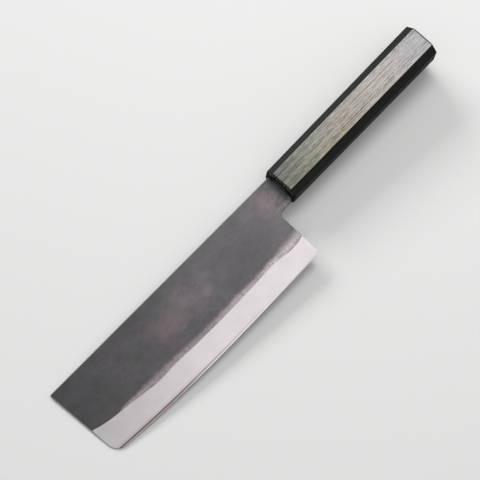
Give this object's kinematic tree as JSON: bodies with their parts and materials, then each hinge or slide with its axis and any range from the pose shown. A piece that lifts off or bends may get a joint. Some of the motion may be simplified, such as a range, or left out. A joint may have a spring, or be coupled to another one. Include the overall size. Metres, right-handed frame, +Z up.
{
  "type": "nakiri knife",
  "caption": "Square-fronted vegetable knife: laminated blade with dark forged flanks and a bright ground bevel, and a tapered octagonal wooden handle on a hidden tang.",
  "frame": {"origin": "on the resting surface, below the middle of the knife's bounding box", "axes": "the knife lies on its right side, as it comes to rest: +X runs along it from the tip to the butt, +Y from the cutting edge to the spine, +Z up out of the resting surface; the blade dips 2.7 degrees to its tip"},
  "size_m": [0.3016, 0.0544, 0.0251],
  "materials": {
    "core_steel": "finely honed carbon steel, bare at the edge, dark at the spine",
    "cladding_iron": "black forge scale on the flanks, satin stone finish on the bevel",
    "handle_wood": "black-green stained open-grained wood, wiped with lacquer to a low sheen",
    "dowel_wood": "bare pale softwood",
    "seal_resin": "dull black resin"
  },
  "bodies": {
    "root": {"core_steel": "core_steel", "cladding_left": "cladding_iron", "cladding_right": "cladding_iron", "handle_body": "handle_wood", "tang_dowel": "dowel_wood", "tang_seal": "seal_resin"}
  },
  "joints": []
}
